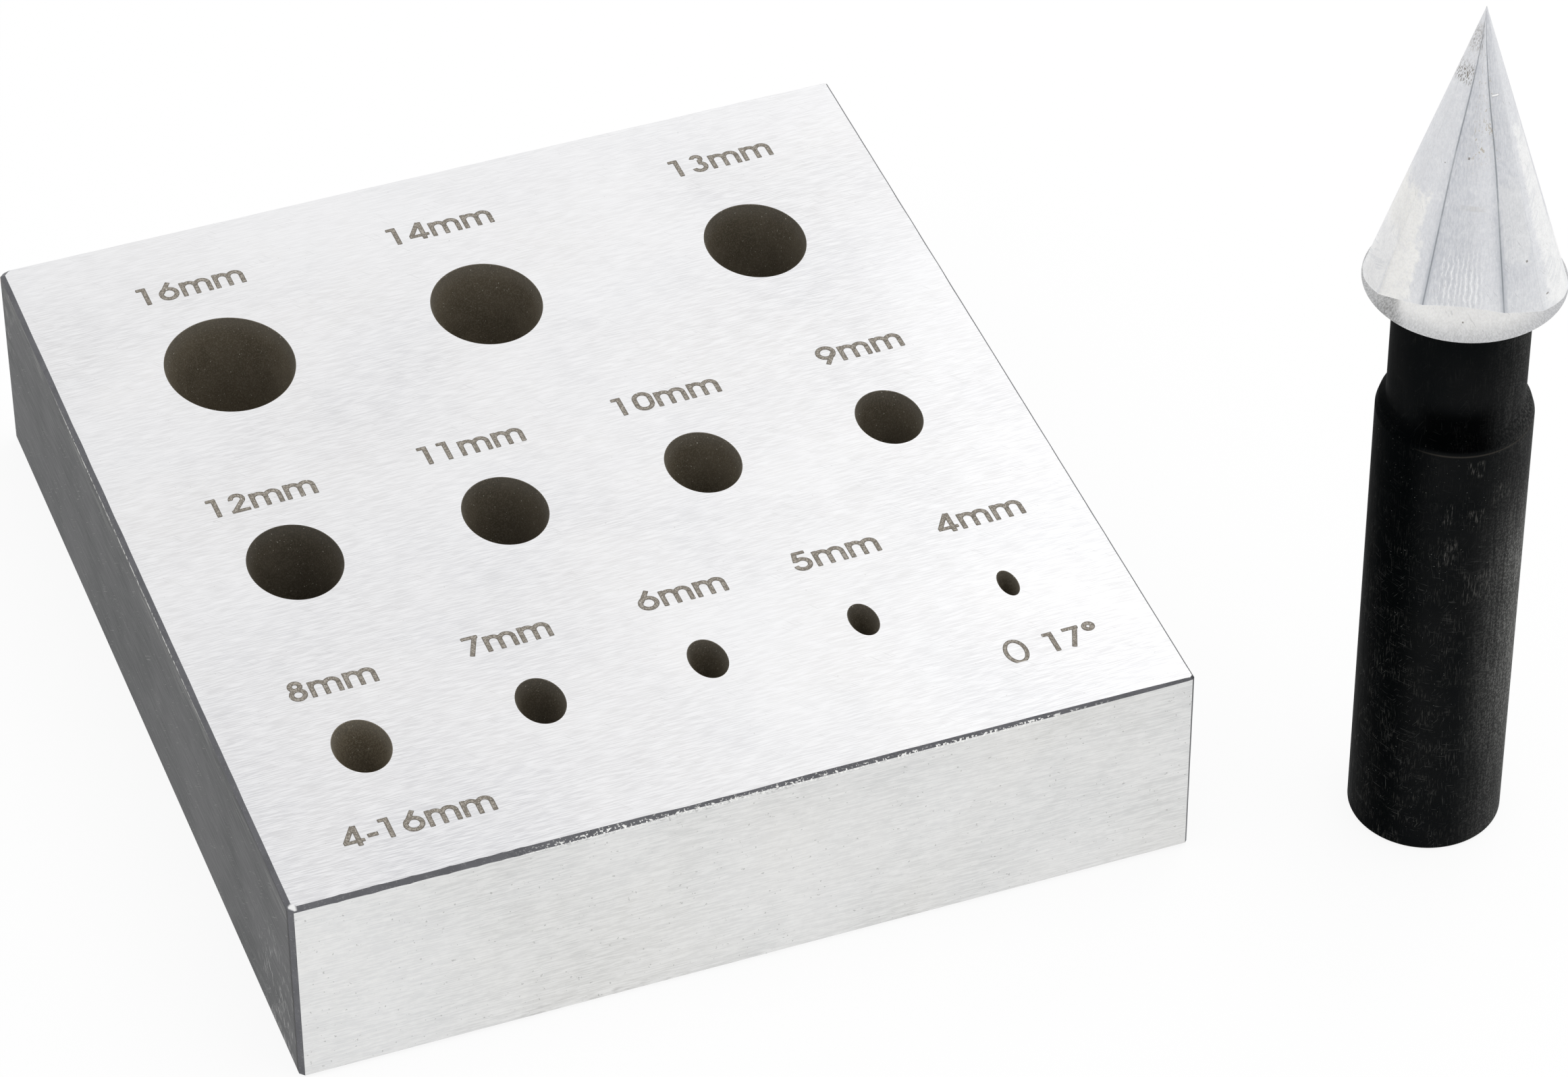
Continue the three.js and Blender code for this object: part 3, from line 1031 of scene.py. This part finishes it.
def pocket_steel(effects):
    """Dull brown scale in the pockets, greyer and lighter at the mouth and browner and lighter deep down,
    both by painted light, with a few glints.
    """
    steel = Finish("dark_pocket", effects)
    grit = steel.effect("speck", size=0.16, level=0.5)
    steel.ground(steel.effect("cloud", size=3.5), (0.083, 0.068, 0.044), (0.115, 0.096, 0.066))
    steel.layer((0.17, 0.16, 0.14), POCKET_MOUTH_PAINTED_LIGHT, 0.4)
    steel.layer((0.16, 0.13, 0.085), POCKET_DEEP_PAINTED_LIGHT, 0.3)
    steel.layer((0.2, 0.172, 0.128), grit, 0.45)
    steel.color = steel.blend(1.0, steel.color, steel.noted("pocket_tone"), "MULTIPLY")
    steel.layer((0.6, 0.57, 0.5), steel.effect("speck", size=0.2, level=0.7), 0.8)
    return steel.done(0.72, 0.35, grit, 0.02)


def mark_steel(effects):
    """Etched marks: gritty brown with a darker rim and a few glints."""
    steel = Finish("etched_mark", effects)
    grit = steel.effect("speck", size=0.17, level=0.5)
    steel.ground(grit, (0.2, 0.178, 0.148), (0.37, 0.34, 0.298))
    steel.layer((0.1, 0.088, 0.07), steel.zone(steel.noted("rim_depth"), MARK_RIM_DEPTHS), 0.75)
    steel.layer((0.72, 0.7, 0.67), steel.effect("speck", size=0.3, level=0.68), 0.8)
    return steel.done(0.6, 0.5, grit, 0.01)


# Areas of the shank: its rise from the bench, and the distance round it from its front towards +X
SHANK_HANDLED = {"rise": (56.0, 20.0, 0.15)}
# Painted sheen on the right side of the shank, fading towards the top and the foot
SHANK_LIT = {"around": (-1.5, 8.5, 12.0, 18.0), "rise": (50.0, 36.0, 0.25)}
SHANK_LIT_FOOT = {"rise": (6.0, 22.0, 0.5)}
# Painted shade down the shank's left side
SHANK_LEFT_SHADE = {"around": (-4.5, -8.5), "rise": (58.5, 54.5, 0.1)}
SHANK_DOTTED = {"rise": (58.0, 50.0, 0.15)}
SHOULDER_LIP = {"rise": [SHANK_HEIGHT + step for step in (-0.16, -0.02, 0.02, 0.12)], "around": (-8.5, -4.0)}
# Painted highlight along the foot's edge
SHANK_FOOT_HIGHLIGHT = {"rise": (0.55, 0.3)}
# Painted shadow on the shoulder and the neck under the head
NECK_SHADOW = {
    "rise": (SHANK_HEIGHT + 0.1, SHANK_HEIGHT + 0.6, 57.5, 60.5),
    "around": (-9.5, -6.0, -0.5, 3.0),
}
# Scratches by turn, length, width and level. Spots by place round the piece, rise and half sizes.
SHANK_SCRATCHES = [(1.45, 1.5, 0.07, 0.67), (0.1, 2.0, 0.07, 0.66), (-0.6, 1.6, 0.07, 0.68)]
SHANK_DASHES = [
    (3.83, 43.4, 0.3, 0.9), (-1.16, 52.3, 0.6, 0.7), (2.23, 48.4, 0.8, 0.8), (-3.7, 46.5, 0.35, 0.9),
    (-3.4, 41.4, 0.6, 1.3), (2.4, 39.6, 0.3, 0.9), (-0.8, 46.0, 0.6, 0.6), (0.2, 36.5, 1.2, 1.4),
]


def shank_steel(effects):
    """Black oxide with upright streaks, rubbed and scratched by handling, with a painted sheen on its right
    side, painted shade on its left side, a painted shadow under the head and a painted highlight along its
    foot.
    """
    steel = Finish("black_oxide", effects)
    centre, radius, _ = punch_sizes()
    wrapped = steel.wrap(centre, radius, 0.0)
    upright = steel.turned("zxy")
    streaks = steel.effect("grain", upright, length=6.0, width=0.18)
    rubs = steel.effect("grain", upright, length=1.1, width=0.12, shift=5.0)
    patches = steel.ramp(steel.effect("cloud", size=3.0), 0.35, 0.9)
    grit = steel.effect("speck", upright, size=0.24, level=0.5)
    strays = steel.most(*(
        steel.effect("scratch", wrapped, turn=turn, length=length, width=width, level=level)
        for turn, length, width, level in SHANK_SCRATCHES
    ))
    handled = steel.area(SHANK_HANDLED)
    lit = steel.times(steel.area(SHANK_LIT), steel.area(SHANK_LIT_FOOT))
    strays = steel.times(strays, steel.most(handled, lit))
    tone = steel.effect("cloud", upright, size=9.0)
    steel.ground(tone, (0.0045, 0.0052, 0.0056), (0.0075, 0.0079, 0.0081))
    # painted shade on the left side
    steel.layer((0.0003, 0.0008, 0.001), SHANK_LEFT_SHADE, 0.97)
    # painted shadow under the head
    steel.layer((0.0004, 0.0006, 0.0007), NECK_SHADOW)
    steel.layer((0.06, 0.059, 0.054), steel.ramp(rubs, 0.53, 0.68), patches, handled, 0.6)
    # painted sheen on the right side
    steel.layer((0.26, 0.26, 0.25), lit, steel.ramp(streaks, 0.3, 0.7, 0.3), steel.ramp(grit, 0.0, 1.0, 0.4))
    steel.layer((0.12, 0.12, 0.115), strays, 0.4)
    steel.layer((0.17, 0.17, 0.16), steel.effect("speck", wrapped, size=0.22, level=0.72), SHANK_DOTTED, 0.6)
    for dash in SHANK_DASHES:
        steel.layer((0.11, 0.107, 0.1), steel.spot(dash, 0.8), steel.ramp(rubs, 0.52, 0.64), 0.5)
    # a light line along the shoulder's edge, and a painted highlight along the foot's edge
    steel.layer((0.07, 0.062, 0.052), [SHOULDER_LIP, SHANK_FOOT_HIGHLIGHT], 0.4)
    relief = steel.sums("ADD", streaks, steel.times(strays, -0.6))
    extras = {"Specular IOR Level": 0.01, "Specular Tint": (0.45, 0.45, 0.45)}
    return steel.done(steel.ramp(streaks, 0.3, 0.7, 0.5, 0.6), 0.0, relief, 0.008, extras)


# Areas and spots of the head: rises from its foot, distances round it, and reaches from the nearest ridge
# in half widths of its line, which are far greater on the band than on the flats
HEAD_WRAP_RADIUS = 6.0
BAND = {"reach": (60.0, 90.0)}
# Painted shade on the band: along its lower edge, on its left and on its right
BAND_LOWER_SHADE = {"rise": (1.7, 0.1)}
BAND_LEAN = 0.86
BAND_LEFT_SHADE = {"leaning": (-5.9, -7.1), "around": (-9.8, -8.4, 0.4)}
BAND_RIGHT_SHADE = {"around": (0.0, 4.0)}
# Painted light near the foot of the flats
FOOT_GLOW = {"rise": (6.5, 1.5)}
CREAM_AROUND = (-3.0, -1.0)
CHATTERED = {"rise": (9.5, 6.0), "around": (-5.4, -4.6, -1.9, -0.9), "reach": (90.0, 60.0)}
PITTED = {"rise": (24.7, 25.6, 26.4, 28.0), "around": (-4.4, -6.0)}
TIP_PITTED = {"rise": (28.0, 29.5, 30.8, 31.8), "around": (-2.5, -4.0)}
STAINED = {"rise": (15.0, 19.0, 27.0, 31.0), "around": (-4.5, -2.5, 0.0, 1.0)}
TIP_STAINED = {"rise": (26.5, 29.0), "around": (-1.5, -3.0)}
# Painted shade beside the ridges, towards the foot
RIDGE_SHADE = {"reach": (6.5, 1.0), "rise": (16.0, 3.0)}
RIDGE_LINE = {"reach": (1.3, 0.4)}
NICK_SPOT = (1.0, 24.25, 0.7, 0.07)
NICK_RIM_SPOT = (1.0, 24.25, 0.805, 0.133)
SMUDGE_SPOT = (-2.7, 12.7, 1.0, 0.2)
DARK_DOTS = [
    (-3.7, 17.8, 0.12, 0.11), (2.4, 6.5, 0.08, 0.1), (3.7, 2.2, 0.1, 0.07), (-7.0, 16.8, 0.06, 0.06),
    (-2.8, 1.45, 0.05, 0.05),
]


def head_steel(effects):
    """Bright ground head: blue-grey flats with painted reflections in cream and white patches and painted
    shading across them, dark ridge lines with painted shade beside them, and a pale band with painted shade.
    """
    steel = Finish("bright_head", effects)
    centre, _, foot = punch_sizes()
    wrapped = steel.wrap(centre, HEAD_WRAP_RADIUS, foot)
    rise, around = steel.along["rise"], steel.along["around"]
    steel.along["reach"] = steel.noted("ridge_reach")
    steel.along["leaning"] = steel.sums("ADD", around, steel.times(rise, BAND_LEAN))
    upright = steel.turned("zxy")
    grain = steel.effect("grain", upright, length=2.2, width=0.16)
    tone = steel.effect("cloud", size=6.0)
    mottle = steel.effect("cloud", size=1.1)
    strength = steel.noted("ridge_strength")

    # The band round the rim, with painted shade along its lower edge, on its left and on its right
    steel.ground(tone, (0.73, 0.725, 0.71), (0.82, 0.815, 0.795))
    steel.layer((0.4, 0.407, 0.42), BAND_LOWER_SHADE, 0.8)
    steel.layer((0.21, 0.21, 0.205), BAND_LEFT_SHADE, 0.82)
    steel.layer((0.45, 0.455, 0.47), BAND_RIGHT_SHADE, 0.5)
    band_color = steel.color

    # The flats with their painted reflections, painted shading across, painted light near their foot, and
    # scratches
    shade = steel.noted("flat_painted_shade")
    ragged = steel.times(steel.sums("SUBTRACT", mottle, 0.5), 0.6)
    cream = steel.ramp(steel.sums("ADD", steel.noted("cream"), ragged), 0.2, 0.9)
    white = steel.ramp(steel.sums("ADD", steel.noted("white"), ragged), 0.1, 1.0)
    hatch = steel.effect("scratch", wrapped, turn=-0.9, length=2.5, width=0.16, level=0.5)
    steel.ground(tone, (0.6, 0.615, 0.65), (0.66, 0.675, 0.71))
    steel.layer((0.77, 0.78, 0.805), steel.noted("flat_reflection_tone"))
    steel.layer((0.82, 0.83, 0.86), steel.most(shade, 0.0), 0.6)
    steel.layer((0.45, 0.47, 0.52), steel.most(steel.times(shade, -1.0), 0.0), 0.4)
    steel.layer((0.82, 0.83, 0.84), FOOT_GLOW, steel.ramp(mottle, 0.0, 1.0, 0.7), 0.5)
    steel.layer((0.94, 0.93, 0.895), cream, steel.ramp(around, *CREAM_AROUND, 0.85, 0.22))
    steel.layer((0.965, 0.965, 0.955), white, 0.82)
    steel.layer((0.62, 0.64, 0.68), hatch, white, 0.35)
    steel.layer(band_color, BAND)
    steel.layer((0.87, 0.87, 0.88), steel.ramp(grain, 0.34, 0.66), 0.36)
    steel.layer((0.45, 0.46, 0.48), steel.effect("speck", size=0.24, level=0.5), 0.1)
    steel.layer((0.45, 0.45, 0.47), steel.ramp(mottle, 1.0, 0.0), 0.06)

    # Chatter lines near the foot of the front flat
    inputs = {"Vector": wrapped, "Scale": 0.74, "Distortion": 4.0, "Detail": 3.0, "Detail Scale": 1.6}
    waves = steel.put("TexWave", inputs, wave_type="BANDS", bands_direction="Y").outputs["Fac"]
    chattered = steel.times(steel.area(CHATTERED), steel.ramp(mottle, 0.1, 0.7, 0.25))
    chatter = steel.times(steel.ramp(waves, 0.84, 0.99), chattered)
    steel.layer((0.95, 0.95, 0.95), chatter, 0.7)
    steel.layer((0.4, 0.41, 0.44), steel.ramp(waves, 0.3, 0.05), chattered, 0.28)

    # Pits, stains and other small marks
    pitted = steel.most(steel.area(PITTED), steel.times(steel.area(TIP_PITTED), 0.8))
    stained = steel.most(steel.area(STAINED), steel.times(steel.area(TIP_STAINED), 0.7))
    stained = steel.times(stained, steel.ramp(mottle, 0.35, 0.75, 0.15))
    strays = steel.effect("scratch", wrapped, turn=0.5, length=1.3, width=0.12, level=0.68)
    steel.layer((0.2, 0.18, 0.15), steel.effect("speck", wrapped, size=0.3, level=0.52), pitted, 0.85)
    steel.layer((0.44, 0.39, 0.31), steel.effect("speck", wrapped, size=0.34, level=0.58), stained, 0.75)
    steel.layer((0.4, 0.4, 0.41), strays, 0.4)
    steel.layer((0.5, 0.48, 0.44), steel.spot(SMUDGE_SPOT, 0.8), mottle, 0.35)
    for dot in DARK_DOTS:
        steel.layer((0.14, 0.12, 0.1), steel.spot(dot), 0.7)

    # The ridges with painted shade beside them, and the nick across one of them
    uneven = steel.ramp(steel.effect("cloud", upright, size=5.0), 0.0, 0.6, 0.6)
    ridge = steel.times(steel.area(RIDGE_LINE), strength, uneven)
    steel.layer((0.44, 0.46, 0.5), RIDGE_SHADE, strength, 0.62)
    steel.layer((0.2, 0.22, 0.24), ridge, 0.75)
    steel.layer((0.3, 0.3, 0.3), steel.spot(NICK_RIM_SPOT), 0.4)
    steel.layer((0.95, 0.95, 0.95), steel.spot(NICK_SPOT))
    relief = steel.sums("ADD", steel.sums("SUBTRACT", grain, ridge), chatter)
    return steel.done(steel.ramp(grain, 0.3, 0.7, 0.42, 0.32), 0.9, relief, 0.01)


# Studio

def white_rays(nodes):
    """1 for the rays that should see a white background: from the camera, and by gloss or glass."""
    path = nodes.put("LightPath").outputs
    return nodes.most(path["Is Camera Ray"], path["Is Glossy Ray"], path["Is Transmission Ray"])


def make_floor():
    lines = [(2 * step / FLOOR_CELLS - 1) * FLOOR_HALF for step in range(FLOOR_CELLS + 1)]
    points = [(x, y, -FLOOR_GAP) for x in lines for y in lines]
    row = len(lines)
    faces = []
    for i in range(FLOOR_CELLS):
        for j in range(FLOOR_CELLS):
            faces.append((i * row + j, (i + 1) * row + j, (i + 1) * row + j + 1, i * row + j + 1))
    floor = new_object("studio_floor", points, faces)
    material = bpy.data.materials.new("pale_floor")
    material.use_nodes = True
    nodes = Nodes(material.node_tree)
    surface = nodes.find("BSDF_PRINCIPLED")
    for name, value in (("Base Color", (0.9, 0.9, 0.9)), ("Roughness", 0.9), ("Specular IOR Level", 0.1)):
        nodes.feed(surface.inputs[name], value)
    glow = nodes.put("Emission", {"Color": (1, 1, 1), "Strength": 1.0})
    share = nodes.times(white_rays(nodes), FLOOR_GLOW)
    mixed = nodes.put("MixShader", {0: share, 1: surface.outputs[0], 2: glow.outputs[0]})
    nodes.feed(nodes.find("OUTPUT_MATERIAL").inputs["Surface"], mixed.outputs[0])
    floor.data.materials.append(material)


def make_world():
    world = bpy.data.worlds.new("studio")
    bpy.context.scene.world = world
    world.use_nodes = True
    world.node_tree.nodes.clear()
    nodes = Nodes(world.node_tree)
    dim = nodes.put("Background", {"Color": (1, 1, 1), "Strength": WORLD_LIGHT})
    white = nodes.put("Background", {"Color": (1, 1, 1), "Strength": 1.0})
    mixed = nodes.put("MixShader", {0: white_rays(nodes), 1: dim.outputs[0], 2: white.outputs[0]})
    nodes.put("OutputWorld", {"Surface": mixed.outputs[0]})


def make_lamp(name, place, aim, side, power):
    lamp = bpy.data.lights.new(name, "AREA")
    lamp.shape = "SQUARE"
    lamp.size = side * MM
    lamp.energy = power
    thing = bpy.data.objects.new(name, lamp)
    bpy.context.scene.collection.objects.link(thing)
    thing.location = Vector(place) * MM
    thing.rotation_euler = (Vector(aim) - Vector(place)).to_track_quat("-Z", "Y").to_euler()
    return thing


def make_camera():
    data = bpy.data.cameras.new("camera")
    data.sensor_fit = "HORIZONTAL"
    data.sensor_width = SENSOR_WIDTH
    data.lens = CAMERA_LENS
    data.clip_start = NEAREST_SEEN * MM
    data.clip_end = FARTHEST_SEEN * MM
    camera = bpy.data.objects.new("camera", data)
    bpy.context.scene.collection.objects.link(camera)
    turn = Matrix.Rotation(-CAMERA_HEADING, 4, "Z") @ Matrix.Rotation(math.pi / 2 - CAMERA_DIP, 4, "X")
    turn = turn @ Matrix.Rotation(CAMERA_ROLL, 4, "Z")
    camera.matrix_world = Matrix.Translation(Vector(CAMERA_PLACE) * MM) @ turn
    bpy.context.scene.camera = camera


def main():
    make_camera()
    effects = {
        "grain": grinding_lines(),
        "cloud": cloudy_tone(),
        "speck": small_specks(),
        "scratch": stray_scratches(),
        "wrap": round_place(),
        "spot": oblong_spot(),
    }
    block_finishes = (top_steel, front_steel, side_steel, chamfer_steel, pocket_steel)
    make_block([finish(effects) for finish in block_finishes])
    make_marks(mark_steel(effects))
    make_shank(shank_steel(effects))
    make_head(head_steel(effects))
    make_floor()
    make_world()
    make_lamp("window_lamp", *WINDOW_LAMP)
    overhead = make_lamp("overhead_lamp", *OVERHEAD_LAMP)
    overhead.visible_glossy = False
    bpy.context.scene.view_settings.view_transform = "Standard"


main()
